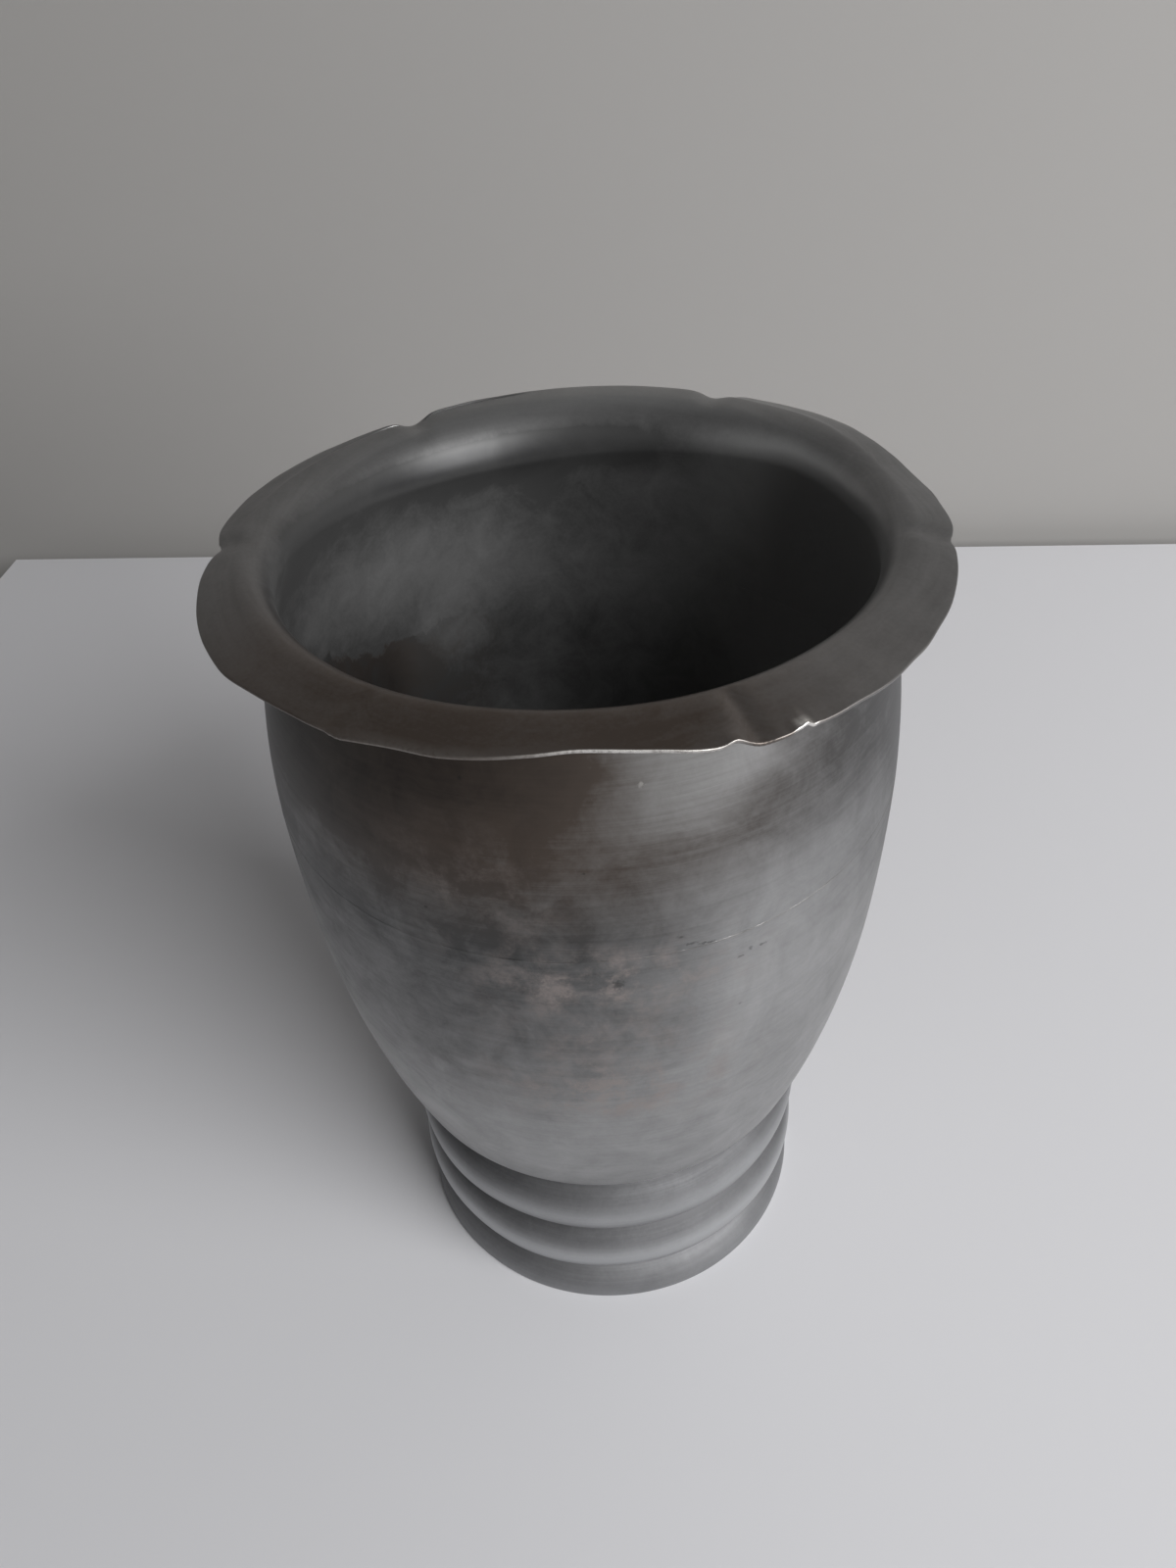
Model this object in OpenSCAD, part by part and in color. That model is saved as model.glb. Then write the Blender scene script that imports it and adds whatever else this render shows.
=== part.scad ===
// Pewter beaker. A body of two soldered halves with a turned-out, lobed rim stands on
// a hollow foot of three turned rings. Millimetres, +Z up. The origin is the centre of
// the foot's underside, on the axis of the body.

/* [Overall] */
// Height from the foot's underside to the top of the rolled mouth
total_h = 121.6; // [114:0.2:135]

/* [Body] */
// Outer radius of the belly, the widest line of the body
belly_r = 40.2; // [38:0.1:43]
// Height of the belly
belly_z = 88.6; // [82:0.2:96]
// Radius of the long curve of the flank, below the belly
flank_round = 260; // [200:5:400]
// Height at which the flank turns into the taper
knee_z = 68.6; // [60:0.2:76]
// Outer radius of the body's bottom edge
base_r = 32.6; // [31:0.1:35]
// Thickness of the body's sheet
wall_t = 1.2; // [0.9:0.05:1.6]
// Height of the seam between the two halves
seam_z = 90.5; // [80:0.5:100]
// Height of the lap behind the seam
lap_h = 3; // [2:0.25:5]
// Thickness of the floor
floor_t = 1.5; // [1:0.1:2.5]

/* [Rim] */
// Inner radius of the mouth at its narrowest
throat_r = 35; // [34:0.1:37]
// Radius of the roll from the mouth out into the rim
roll_round = 3.5; // [2.5:0.1:4.5]
// Radius to the crest of a lobe
rim_r = 44.3; // [43:0.1:47]
// Thickness of the rim at its edge
rim_t = 0.8; // [0.6:0.05:1]
// Fall of the rim towards its edge, in degrees
rim_droop = 14; // [6:1:20]
// Number of lobes around the rim
lobe_count = 6; // [5:1:8]
// Radius of a lobe's own arc
lobe_round = 36; // [33:0.5:40]
// Direction of the first notch, in degrees from +X
notch_turn = 55; // [0:1:60]
// Radius of the notch between two lobes
notch_round = 1.2; // [0.8:0.1:1.8]
// Depth of the notch
notch_d = 1; // [0.4:0.1:1.4]

/* [Foot] */
// Overhang of the body's bottom edge past the crests of the rings
overhang = 1.1; // [0:0.1:2.5]
// Height of the upper two rings
ring_h = 11.1; // [10:0.1:13]
// Height of a ring's crest above its underside
ring_crest = 3; // [2:0.1:4]
// Radius of a ring's own bulge
ring_round = 6.3; // [5.8:0.1:8]
// Height of the lowest ring, which is cut flat to stand on
base_h = 8.2; // [7:0.1:10]
// Depth of the grooves between the rings
groove_d = 3.3; // [2.4:0.1:3.6]
// Height of the neck between the top ring and the body
neck_h = 3.6; // [2:0.1:6]
// Thickness of the hollow foot at the grooves
foot_wall = 2.4; // [2:0.1:4]
// Thickness of the lip that centres each ring in the piece above it
spigot_t = 1.1; // [0.8:0.1:1.2]
// Height of that lip where it enters a ring
spigot_h = 0.9; // [0.6:0.1:1.1]

/* [Solder] */
// Thickness of the solder between two flat faces
solder_t = 0.2; // [0.15:0.05:0.4]
// Clearance between pieces that slide into each other
fit_gap = 0.1; // [0.05:0.05:0.2]
// Leg of the solder fillet around the floor
fillet_leg = 1.2; // [0.8:0.1:2]

/* [Hidden] */

// Facets of a full turn
$fn = 180;
// Most that the straight steps of a section's arc may stand off the true arc
arc_tol = 0.003;
// Overlap of a cutter past the face that it cuts
past = 1;

// Radii of the foot, in from the body's bottom edge
ring_r = base_r - overhang;
groove_r = ring_r - groove_d;
bore_r = groove_r - foot_wall;
spigot_r = bore_r + spigot_t;
socket_r = spigot_r + fit_gap;

// Heights of the foot, from the table up
middle_z = base_h + solder_t;
top_z = middle_z + ring_h + solder_t;
neck_top = top_z + ring_h + neck_h;
body_z = neck_top + solder_t;
floor_z = body_z + wall_t;
floor_top = floor_z + floor_t;

// Centre of the mouth's roll, and the radius of its outer, under side
roll_c = [throat_r + roll_round, total_h - roll_round];
under_round = roll_round - wall_t;

// Shoulder: an arc that is upright at the belly and runs smoothly into the roll
rise = roll_c[1] - belly_z;
set_in = belly_r - roll_c[0];
shoulder_round = (rise * rise + set_in * set_in - under_round * under_round)
    / (2 * (under_round + set_in));
shoulder_c = [belly_r - shoulder_round, belly_z];
shoulder_turn = atan2(rise, shoulder_round - set_in);

// Flank: an arc from the belly down to the knee
flank_c = [belly_r - flank_round, belly_z];
knee_turn = asin((belly_z - knee_z) / flank_round);
knee = flank_c + flank_round * [cos(knee_turn), -sin(knee_turn)];

// Taper: an arc that leaves the knee smoothly and ends at the body's bottom edge
inward = [-cos(knee_turn), sin(knee_turn)];
drop = [base_r, body_z] - knee;
taper_round = drop * drop / (2 * drop * inward);
taper_c = knee + taper_round * inward;
taper_turn = asin((taper_c[1] - body_z) / taper_round);
// Extra turn below the bottom edge, which the level cut takes off
spare_turn = 2;

// The lap at the seam splits the sheet into an outer and an inner half
lap_t = (wall_t - fit_gap) / 2;
lap_top = seam_z + lap_h;

// Lobed outline of the rim
lobe_shift = rim_r - lobe_round;
half_lobe = 180 / lobe_count;
valley_r = lobe_shift * cos(half_lobe) + sqrt(pow(lobe_round, 2) - pow(lobe_shift * sin(half_lobe), 2));

// Edge of the rim in section: a little past the lobes, which are cut to their outline later
fall = [cos(rim_droop), -sin(rim_droop)];
lift = [sin(rim_droop), cos(rim_droop)];
rim_top = roll_c + roll_round * lift + (rim_r + past - roll_c[0]) * fall;
rim_edge = [rim_top - rim_t * lift, rim_top];
rim_low = rim_edge[0][1] - past;

// Inner radius of the taper at a height
function taper_inside(z) = taper_c[0] + sqrt(pow(taper_round - wall_t, 2) - pow(z - taper_c[1], 2));

// Points along an arc, without its first one
function arc(centre, r, from, to) =
    let (steps = ceil(abs(to - from) * PI / 180 * sqrt(r / (8 * arc_tol))))
    [for (i = [1 : steps]) let (a = from + (to - from) * i / steps) centre + r * [cos(a), sin(a)]];

// Points up the body at a depth in from its outside, from below the bottom edge to the rim
function side(depth) = concat(
    arc(taper_c, taper_round - depth, -taper_turn - spare_turn, -knee_turn),
    arc(flank_c, flank_round - depth, -knee_turn, 0),
    arc(shoulder_c, shoulder_round - depth, 0, shoulder_turn),
    arc(roll_c, under_round + depth, 180 + shoulder_turn, 90 - rim_droop)
);

function reversed(points) = [for (i = [len(points) - 1 : -1 : 0]) points[i]];

// Section of the sheet between two depths and two heights, with an edge at its upper end
module sheet(d0, d1, z0, z1, edge = []) {
    intersection() {
        polygon(concat(side(d0), edge, reversed(side(d1))));
        translate([0, z0]) square([rim_r + 2 * past, z1 - z0]);
    }
}

// Outline of the rim from above
module rim_outline() {
    difference() {
        for (i = [0 : lobe_count - 1])
            rotate(notch_turn + half_lobe + i * 360 / lobe_count)
                translate([lobe_shift, 0]) circle(lobe_round);
        for (i = [0 : lobe_count - 1])
            rotate(notch_turn + i * 360 / lobe_count)
                translate([valley_r - notch_d + notch_round, 0]) circle(notch_round);
    }
}

// Flat washer of solder
module washer(z, r_in, r_out) {
    translate([0, 0, z]) rotate_extrude() translate([r_in, 0]) square([r_out - r_in, solder_t]);
}

// Section of a foot ring: a core with a bulge around it, cut off below at a height
module ring_section(cut) {
    translate([bore_r, cut]) square([groove_r - bore_r, ring_h - cut]);
    intersection() {
        translate([ring_r - ring_round, ring_crest]) circle(ring_round);
        translate([bore_r, cut]) square([ring_r - bore_r + past, ring_h - cut]);
    }
}

// Section of the lip on top of a ring, up through the solder and into the next piece
module spigot_section(z, h) {
    translate([bore_r, z]) square([spigot_t, solder_t + h]);
}

// Section cut from a ring's underside for the lip of the ring below
module socket_section() {
    translate([bore_r - past, -past]) square([socket_r - bore_r + past, past + spigot_h + fit_gap]);
}

module upper_body() {
    color("dimgray") difference() {
        rotate_extrude() difference() {
            sheet(0, wall_t, seam_z + solder_t, total_h + past, rim_edge);
            sheet(lap_t, wall_t + past, seam_z - past, lap_top + fit_gap);
        }
        translate([0, 0, rim_low]) linear_extrude(total_h + past - rim_low) difference() {
            circle(rim_r + 2 * past);
            rim_outline();
        }
    }
}

module lower_body() {
    color("gray") rotate_extrude() {
        difference() {
            sheet(0, wall_t, body_z, lap_top);
            sheet(-past, lap_t + fit_gap, seam_z, lap_top + past);
        }
        translate([socket_r, body_z]) square([base_r - wall_t / 2 - socket_r, wall_t]);
    }
}

module floor_disc() {
    color("slategray") translate([0, 0, floor_z])
        cylinder(h = floor_t, r = taper_inside(floor_z) - fit_gap);
}

module foot_ring_top() {
    color("darkgray") translate([0, 0, top_z]) rotate_extrude() difference() {
        union() {
            ring_section(0);
            translate([bore_r, ring_h]) square([groove_r - bore_r, neck_h]);
            spigot_section(ring_h + neck_h, wall_t - fit_gap);
        }
        socket_section();
    }
}

module foot_ring_middle() {
    color("darkgray") translate([0, 0, middle_z]) rotate_extrude() difference() {
        union() {
            ring_section(0);
            spigot_section(ring_h, spigot_h);
        }
        socket_section();
    }
}

module foot_ring_bottom() {
    color("darkgray") translate([0, 0, base_h - ring_h]) rotate_extrude() {
        ring_section(ring_h - base_h);
        spigot_section(ring_h, spigot_h);
    }
}

module body_seam_solder() {
    color("silver") rotate_extrude() sheet(0, lap_t, seam_z, seam_z + solder_t);
}

module floor_solder() {
    corner_r = taper_inside(floor_top);
    color("silver") rotate_extrude() polygon([
        [corner_r - fillet_leg, floor_top],
        [corner_r, floor_top],
        [taper_inside(floor_top + fillet_leg), floor_top + fillet_leg]
    ]);
}

module foot_joint_solder() {
    color("silver") washer(neck_top, socket_r, groove_r);
}

module ring_seam_solder() {
    color("silver") {
        washer(base_h, socket_r, groove_r);
        washer(middle_z + ring_h, socket_r, groove_r);
    }
}

upper_body();
lower_body();
floor_disc();
foot_ring_top();
foot_ring_middle();
foot_ring_bottom();
body_seam_solder();
floor_solder();
foot_joint_solder();
ring_seam_solder();
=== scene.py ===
import math
from types import SimpleNamespace

import bpy
import numpy as np
from mathutils import Matrix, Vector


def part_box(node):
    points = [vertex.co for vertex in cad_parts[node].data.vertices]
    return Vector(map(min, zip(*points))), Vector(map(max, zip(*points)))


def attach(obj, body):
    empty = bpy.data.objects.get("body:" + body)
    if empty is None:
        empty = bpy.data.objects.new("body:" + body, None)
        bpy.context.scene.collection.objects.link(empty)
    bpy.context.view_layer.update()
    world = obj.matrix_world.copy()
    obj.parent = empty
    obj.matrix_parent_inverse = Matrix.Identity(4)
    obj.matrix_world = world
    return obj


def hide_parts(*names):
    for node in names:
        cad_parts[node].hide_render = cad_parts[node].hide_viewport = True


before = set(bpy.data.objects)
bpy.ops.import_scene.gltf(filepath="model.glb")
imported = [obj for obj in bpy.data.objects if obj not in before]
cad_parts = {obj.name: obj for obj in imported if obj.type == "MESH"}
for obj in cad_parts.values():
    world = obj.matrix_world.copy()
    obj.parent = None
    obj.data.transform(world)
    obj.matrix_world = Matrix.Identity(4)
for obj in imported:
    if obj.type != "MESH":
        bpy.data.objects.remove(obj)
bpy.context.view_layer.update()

# A pewter beaker on a plain pale table. Shapes are worked out in millimetres, with angles in
# degrees from +X, and go into the meshes in metres.
MM = 0.001


def box_of(node):
    """Radius, lowest and highest level of a node of the frame, in millimetres."""
    low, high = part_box(node)
    return max(high.x, high.y) / MM, low.z / MM, high.z / MM


# Levels and radii that the frame gives
RIM_R, _, TOTAL_H = box_of("upper_body")
BELLY_R, BODY_Z, LAP_TOP = box_of("lower_body")
FLOOR_R, FLOOR_Z, FLOOR_TOP = box_of("floor_disc")
_, SEAM_Z, SEAM_TOP = box_of("body_seam_solder")
GROOVE_R, NECK_TOP, _ = box_of("foot_joint_solder")
RING_R, TOP_Z, TOP_LIP = box_of("foot_ring_top")
_, MIDDLE_Z, MIDDLE_LIP = box_of("foot_ring_middle")
_, _, BASE_LIP = box_of("foot_ring_bottom")
_, BASE_H, _ = box_of("ring_seam_solder")
FILLET_R, _, FILLET_TOP = box_of("floor_solder")
SOLDER_T = SEAM_TOP - SEAM_Z

# Body and rim, as in the construction
WALL_T = FLOOR_Z - BODY_Z
BASE_R = 32.6
BELLY_Z = 88.6
FLANK_ROUND = 260
KNEE_Z = 68.6
THROAT_R = 35.0
ROLL_ROUND = 3.5
RIM_DROOP = math.radians(14)
FIT_GAP = 0.1
LAP_T = (WALL_T - FIT_GAP) / 2
# The rim's edge is worn thinner than in the construction, and the lap is closed to a hair
RIM_T = 0.5
LAP_GAP = 0.01

# Foot, as in the construction
RING_CREST = 3
RING_ROUND = 6.3
FOOT_WALL = 2.4
LIP_T = 1.1
LIP_H = 0.9
BORE_R = GROOVE_R - FOOT_WALL
LIP_R = BORE_R + LIP_T
SOCKET_R = LIP_R + FIT_GAP
RING_H = TOP_Z - SOLDER_T - MIDDLE_Z
# Level at which the lowest ring's underside would be if it weren't cut flat
BASE_UNDER = BASE_H - RING_H

# Softened corners
EDGE_ROUND = 0.3
RIM_ROUND = 0.18
TURN_ROUND = 0.9
GROOVE_ROUND = 1.2
FLOOR_ROUND = 0.15
BEAD_ROUND = 0.06
SEAM_ROUND = 0.015

# Mesh detail: steps along the sections, and steps around the axis in degrees
UPPER_STEP = 1.3
BODY_STEP = 1.2
ROLL_STEP = 0.3
CORNER_STEP = 0.08
SEAM_STEP = 0.2
RING_STEP = 0.9
BULGE_STEP = 0.25
GROOVE_STEP = 0.2
BEAD_STEP = 0.4
FLOOR_STEP = 1.6
FILLET_STEP = 0.3
HOLLOW_STEP = 0.15
PLAIN_TURN = 1.0
NOTCH_TURN = 0.4
SEAM_TURN = 0.6
BURR_TURN = 0.15
# Edges that turn by more than this are shown sharp
SHARP_ANGLE = math.radians(40)
# Room that the wall's points leave for the roll, outside and inside, and for the turned bottom edge
UNDER_ROOM = 0.5
MOUTH_ROOM = 1.5
TURN_ROOM = 1.5

# The notches between the lobes: direction, depth and half width of the cut, depth of the crease
NOTCHES = [
    (60, 0.7, 2.0, 0.95),
    (120, 0.8, 2.0, 1.3),
    (178, 0.6, 2.6, 0.45),
    (237, 0.2, 1.6, 0.35),
    (291, 0.3, 1.2, 0.4),
    (350, 0.5, 1.8, 0.4),
]
# The lobe that follows each notch: radius of its edge at its start, middle and end
LOBES = [
    (43.6, 43.8, 43.7),
    (43.7, 43.6, 42.4),
    (41.6, 43.7, 43.4),
    (43.8, 44.2, 44.8),
    (45.0, 44.1, 43.1),
    (43.4, 43.7, 44.9),
]
# Where the front edge was knocked straight: direction, spread and depth
KNOCKS = [(271, 13, 1.8), (245, 5.5, 0.6), (226, 7, 0.55)]
# Where the mouth stands in or out of the true round: direction, spread, distance out
MOUTH_OUT = [(262, 38, 0.4), (183, 40, -0.3), (318, 22, 0.1), (5, 35, 0.3), (105, 45, 1.5)]
# Where the mouth and its flange stand high or low: direction, spread, height
MOUTH_UP = [(122, 45, -2.2), (14, 9, -0.4), (37, 10, 0.35)]
# Where the roll of the mouth is fuller or tighter: direction, spread, growth of its radius
ROLL_GROWTH = [(100, 58, 4.0), (262, 70, -1.5)]
# Where the flange's edge is bent up: direction, spread, height
EDGE_UP = [(266, 26, 0.6), (122, 45, 1.15)]
# Level above which the body follows the bent mouth
BEND_Z = SEAM_TOP + 14
# Dents of the wall: direction, spread, height, spread up and down, distance out
DENTS = [
    (232, 17, 78, 13, -0.25),
    (318, 14, 60, 12, -0.2),
    (95, 20, 84, 12, -0.3),
    (20, 15, 66, 10, -0.22),
]
# The burr by the right front notch: direction of its folded and of its ragged part
FOLD_AT = 287.8
RAG_AT = 296.4
# Stretch of the edge that holds the burr: direction and spread
BURR_SPAN = (292, 8)
# How far the edge, the flange, the wall, the foot rings and the seam waver, and the share by which the
# seam's width does
EDGE_WAVER = 0.06
FLANGE_WAVER = 0.12
FLANGE_RUFFLE = 0.02
WALL_WAVER = 0.1
RING_WAVER = 0.07
SEAM_WAVER = 0.012
SEAM_WIDEN = 0.25
# How far the seam and the foot's beads stand proud
SEAM_PROUD = 0.005
BEAD_PROUD = 0.1


def smooth(x, low, high):
    """0 up to low, 1 from high on, and a smooth rise between."""
    t = np.clip((x - low) / (high - low), 0, 1)
    return t * t * (3 - 2 * t)


def fade(x, low, high):
    """1 up to low, 0 from high on, and a smooth fall between."""
    return 1 - smooth(x, low, high)


def bell(x, spread):
    return np.exp(-(x / spread) ** 2)


def apart(angle, turn):
    """Degrees from a direction, from -180 to 180."""
    return (angle - turn + 180) % 360 - 180


def around(angle, turn, spread):
    """1 in a direction, fading to 0 on both sides of it."""
    return bell(apart(angle, turn), spread)


def swell(angle, places):
    """Sum of bells around the beaker: direction, spread and size of each."""
    return sum(size * around(angle, turn, spread) for turn, spread, size in places)


def spots(angle, z, places):
    """Sum of spots on the wall: direction, spread, height, spread up and down, and size of each."""
    return sum(
        size * around(angle, turn, spread) * bell(z - height, tall)
        for turn, spread, height, tall, size in places
    )


def ripple(angle, seed, low, high):
    """Smooth seeded waver around the axis, about from -1 to 1, with low to high waves in a turn."""
    rng = np.random.default_rng(seed)
    waves = np.arange(low, high + 1)
    phases = rng.uniform(0, 2 * np.pi, len(waves))
    sizes = rng.uniform(0.4, 1, len(waves))
    total = sum(s * np.cos(w * np.radians(angle) + p) for w, p, s in zip(waves, phases, sizes))
    return total / np.sqrt((sizes ** 2).sum())


def arc(centre, radius, start, end, step):
    """Points along an arc from one angle to another, in radians, about step apart."""
    count = max(2, int(math.ceil(abs(end - start) * radius / step)) + 1)
    a = np.linspace(start, end, count)
    return np.stack([centre[0] + radius * np.cos(a), centre[1] + radius * np.sin(a)], 1)


def corner(before, point, after, radius):
    """A corner rounded to a radius, as points."""
    p = np.array(point, float)
    a = np.array(before, float) - p
    b = np.array(after, float) - p
    a /= np.linalg.norm(a)
    b /= np.linalg.norm(b)
    half = math.acos(np.clip(a @ b, -1, 1)) / 2
    centre = p + (a + b) / np.linalg.norm(a + b) * radius / math.sin(half)
    first = p + a * radius / math.tan(half) - centre
    last = p + b * radius / math.tan(half) - centre
    start = math.atan2(first[1], first[0])
    turn = (math.atan2(last[1], last[0]) - start + math.pi) % (2 * math.pi) - math.pi
    return arc(centre, radius, start, start + turn, CORNER_STEP)


def outline(*stretches):
    """Closed outline from stretches of points and corners (r, z, radius), in order."""
    plain = [np.array([s[:2]], float) if isinstance(s, tuple) else s for s in stretches]
    done = []
    for k, s in enumerate(stretches):
        if isinstance(s, tuple) and len(s) == 3:
            after = plain[(k + 1) % len(plain)][0]
            done.append(corner(plain[k - 1][-1], s[:2], after, s[2]))
        else:
            done.append(plain[k])
    return np.concatenate(done)


def even(points, step):
    """The closed outline with its long straight stretches cut into steps."""
    out = []
    for p, q in zip(points, np.roll(points, -1, 0)):
        count = max(1, int(math.ceil(np.linalg.norm(q - p) / step)))
        if np.linalg.norm(q - p) < 1e-4:
            continue
        out += [p + (q - p) * k / count for k in range(count)]
    return np.array(out)


# Curves of the body's section
ROLL_C = np.array([THROAT_R + ROLL_ROUND, TOTAL_H - ROLL_ROUND])
UNDER_ROUND = ROLL_ROUND - WALL_T
RISE = ROLL_C[1] - BELLY_Z
SET_IN = BELLY_R - ROLL_C[0]
SHOULDER_ROUND = (RISE ** 2 + SET_IN ** 2 - UNDER_ROUND ** 2) / (2 * (UNDER_ROUND + SET_IN))
SHOULDER_C = np.array([BELLY_R - SHOULDER_ROUND, BELLY_Z])
SHOULDER_TURN = math.atan2(RISE, SHOULDER_ROUND - SET_IN)
FLANK_C = np.array([BELLY_R - FLANK_ROUND, BELLY_Z])
KNEE_TURN = math.asin((BELLY_Z - KNEE_Z) / FLANK_ROUND)
KNEE = FLANK_C + FLANK_ROUND * np.array([math.cos(KNEE_TURN), -math.sin(KNEE_TURN)])
INWARD = np.array([-math.cos(KNEE_TURN), math.sin(KNEE_TURN)])
DROP = np.array([BASE_R, BODY_Z]) - KNEE
TAPER_ROUND = DROP @ DROP / (2 * DROP @ INWARD)
TAPER_C = KNEE + TAPER_ROUND * INWARD
FALL = np.array([math.cos(RIM_DROOP), -math.sin(RIM_DROOP)])
LIFT = np.array([math.sin(RIM_DROOP), math.cos(RIM_DROOP)])
ROLL_END = ROLL_C + ROLL_ROUND * LIFT
RIM_TOP = ROLL_END + (RIM_R - ROLL_END[0]) / FALL[0] * FALL
# Share of the way from the mouth to the edge at which the roll is highest
ROLL_REACH = ROLL_ROUND / (RIM_TOP[0] - THROAT_R)


def wall(depth, low, high):
    """Points up the body's wall between two levels, at a depth in from its outside."""
    def at(centre, radius, z):
        return centre[0] + math.sqrt((radius - depth) ** 2 - (z - centre[1]) ** 2)

    count = max(2, int(math.ceil((high - low) / BODY_STEP)) + 1)
    points = []
    for z in np.linspace(low, high, count):
        if z > BELLY_Z:
            r = at(SHOULDER_C, SHOULDER_ROUND, z)
        elif z > KNEE_Z:
            r = at(FLANK_C, FLANK_ROUND, z)
        else:
            r = at(TAPER_C, TAPER_ROUND, z)
        points.append((r, z))
    return np.array(points)


def wall_radius(depth, z):
    """Radius of the body's wall at a level, at a depth in from its outside."""
    return wall(depth, z, z + 1)[0, 0]


def roll(depth):
    """Points over the rolled mouth, from the wall to the start of the flange."""
    return arc(ROLL_C, UNDER_ROUND + depth, math.pi + SHOULDER_TURN, math.pi / 2 - RIM_DROOP, ROLL_STEP)


def rim_edge(angle):
    """Radius of the rim's edge around the beaker."""
    edge = np.zeros_like(angle)
    for k, (turn, _, _, _) in enumerate(NOTCHES):
        ahead = NOTCHES[(k + 1) % len(NOTCHES)][0]
        half = ((ahead - turn) % 360) / 2
        along = apart(angle, turn + half) / half
        start, middle, end = LOBES[k]
        lobe = middle + along * (end - start) / 2 + along ** 2 * ((start + end) / 2 - middle)
        edge = np.where(np.abs(along) <= 1, lobe, edge)
    for turn, depth, width, _ in NOTCHES:
        edge = edge - depth * bell(np.radians(apart(angle, turn)) * RIM_R, width)
    return edge - swell(angle, KNOCKS) + EDGE_WAVER * ripple(angle, 11, 9, 40)


def soft_edge(angle):
    """The edge's radius with the steps where two lobes meet eased away."""
    return sum(rim_edge((angle + d) % 360) for d in (-1.2, -0.6, 0, 0.6, 1.2)) / 5


def out_of_round(angle, z):
    """How far the worked wall stands off the true round, out from the axis."""
    waver = WALL_WAVER * ripple(angle, 3, 2, 7) * smooth(z, BODY_Z, BODY_Z + 30)
    mouth = swell(angle, MOUTH_OUT) * smooth(z, SEAM_Z + 4, TOTAL_H)
    return spots(angle, z, DENTS) + waver + mouth


def worked_wall(angle, section):
    """Radius and height of a piece of the body as it was worked by hand."""
    r, z = section[:, 0], section[:, 1]
    return r + out_of_round(angle, z), z + 0 * angle


def burr(angle):
    """Folded and ragged metal by the right front notch, where the rim was knocked."""
    fold = 0.6 * around(angle, FOLD_AT, 1.3)
    rag = around(angle, RAG_AT, 1.6) * (0.8 + 0.3 * ripple(angle, 21, 90, 260))
    return fold, rag


def across(section):
    """0 inside the mouth, rising over the flange to 1 at the rim's edge."""
    reach = np.clip((section[:, 0] - THROAT_R) / (RIM_TOP[0] - THROAT_R), 0, 1)
    return np.where(section[:, 1] > ROLL_C[1], reach, 0)


def worked_rim(angle, section):
    """The upper body: its wall and roll, and the flange drawn out to the lobes, notches and creases."""
    r, z = worked_wall(angle, section)
    reach = across(section)
    high = smooth(section[:, 1], BEND_Z, TOTAL_H)

    # A fuller roll is lower on the inside and wider on top
    growth = swell(angle, ROLL_GROWTH)
    lean = np.clip((ROLL_C[0] - section[:, 0]) / ROLL_ROUND, 0, 1)
    rise = np.clip((section[:, 1] - ROLL_C[1]) / ROLL_ROUND, 0, 1)
    widen = np.minimum(1, (1 - reach) / (1 - ROLL_REACH)) * (section[:, 1] > ROLL_C[1])
    r = r + growth * (1 - lean) * widen
    z = z - growth * (1 - rise) * high * fade(reach, 0.4, 0.8)

    # The flange is drawn out to its edge, bent with the mouth, and creased at the notches
    out = smooth(reach, 0.3, 1) * (soft_edge(angle) - RIM_R - out_of_round(angle, TOTAL_H))
    r = r + out
    z = z - out * math.tan(RIM_DROOP) + swell(angle, MOUTH_UP) * high + swell(angle, EDGE_UP) * reach ** 2
    for turn, _, width, crease in NOTCHES:
        away = np.radians(apart(angle, turn)) * RIM_R
        z = z - crease * smooth(reach, 0.1, 0.55) * bell(away, width)
    z = z + reach * (FLANGE_WAVER * ripple(angle, 5, 3, 9) + FLANGE_RUFFLE * ripple(angle, 8, 20, 60))

    # The burr stands up from the edge
    fold, rag = burr(angle)
    tip = smooth(reach, 0.9, 1)
    return r - tip * (0.3 * fold + 0.1 * rag), z + tip * (0.8 * fold + 0.5 * rag)


def steps_around(coarse, fine_spans=()):
    """Angles around the beaker in degrees, with (direction, spread, step) of each finer stretch."""
    angles = [0.0]
    while angles[-1] < 360:
        here = angles[-1]
        step = coarse
        for turn, spread, fine in fine_spans:
            if abs(apart(here, turn)) < spread:
                step = min(step, fine)
        angles.append(here + step)
    return np.array(angles[:-1])[:, None]


PLAIN_STEPS = steps_around(PLAIN_TURN)
SEAM_STEPS = steps_around(SEAM_TURN)
RIM_STEPS = steps_around(PLAIN_TURN, [(n[0], 6, NOTCH_TURN) for n in NOTCHES] + [(*BURR_SPAN, BURR_TURN)])

# Colours of the metal, which the painted light and shade also use: clean, tarnished, brown, black where
# deep tarnish and painted shade are darkest, in the pale smears, in pits, flecks and bright spots, and
# where it is worn. The foot and the solder have their own.
CLEAN = (0.45, 0.45, 0.45)
DARK = (0.08, 0.08, 0.08)
BROWN = (0.105, 0.084, 0.071)
DEEP = (0.02, 0.02, 0.021)
STAIN = (0.36, 0.315, 0.295)
PIT = (0.04, 0.038, 0.036)
FLECK = (0.03, 0.028, 0.026)
PIP = (0.6, 0.58, 0.55)
WORN = (0.78, 0.76, 0.73)
FOOT_CLEAN = (0.44, 0.445, 0.455)
FOOT_DARK = (0.13, 0.13, 0.135)
SOLDER_CLEAN = (0.45, 0.44, 0.43)
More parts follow.
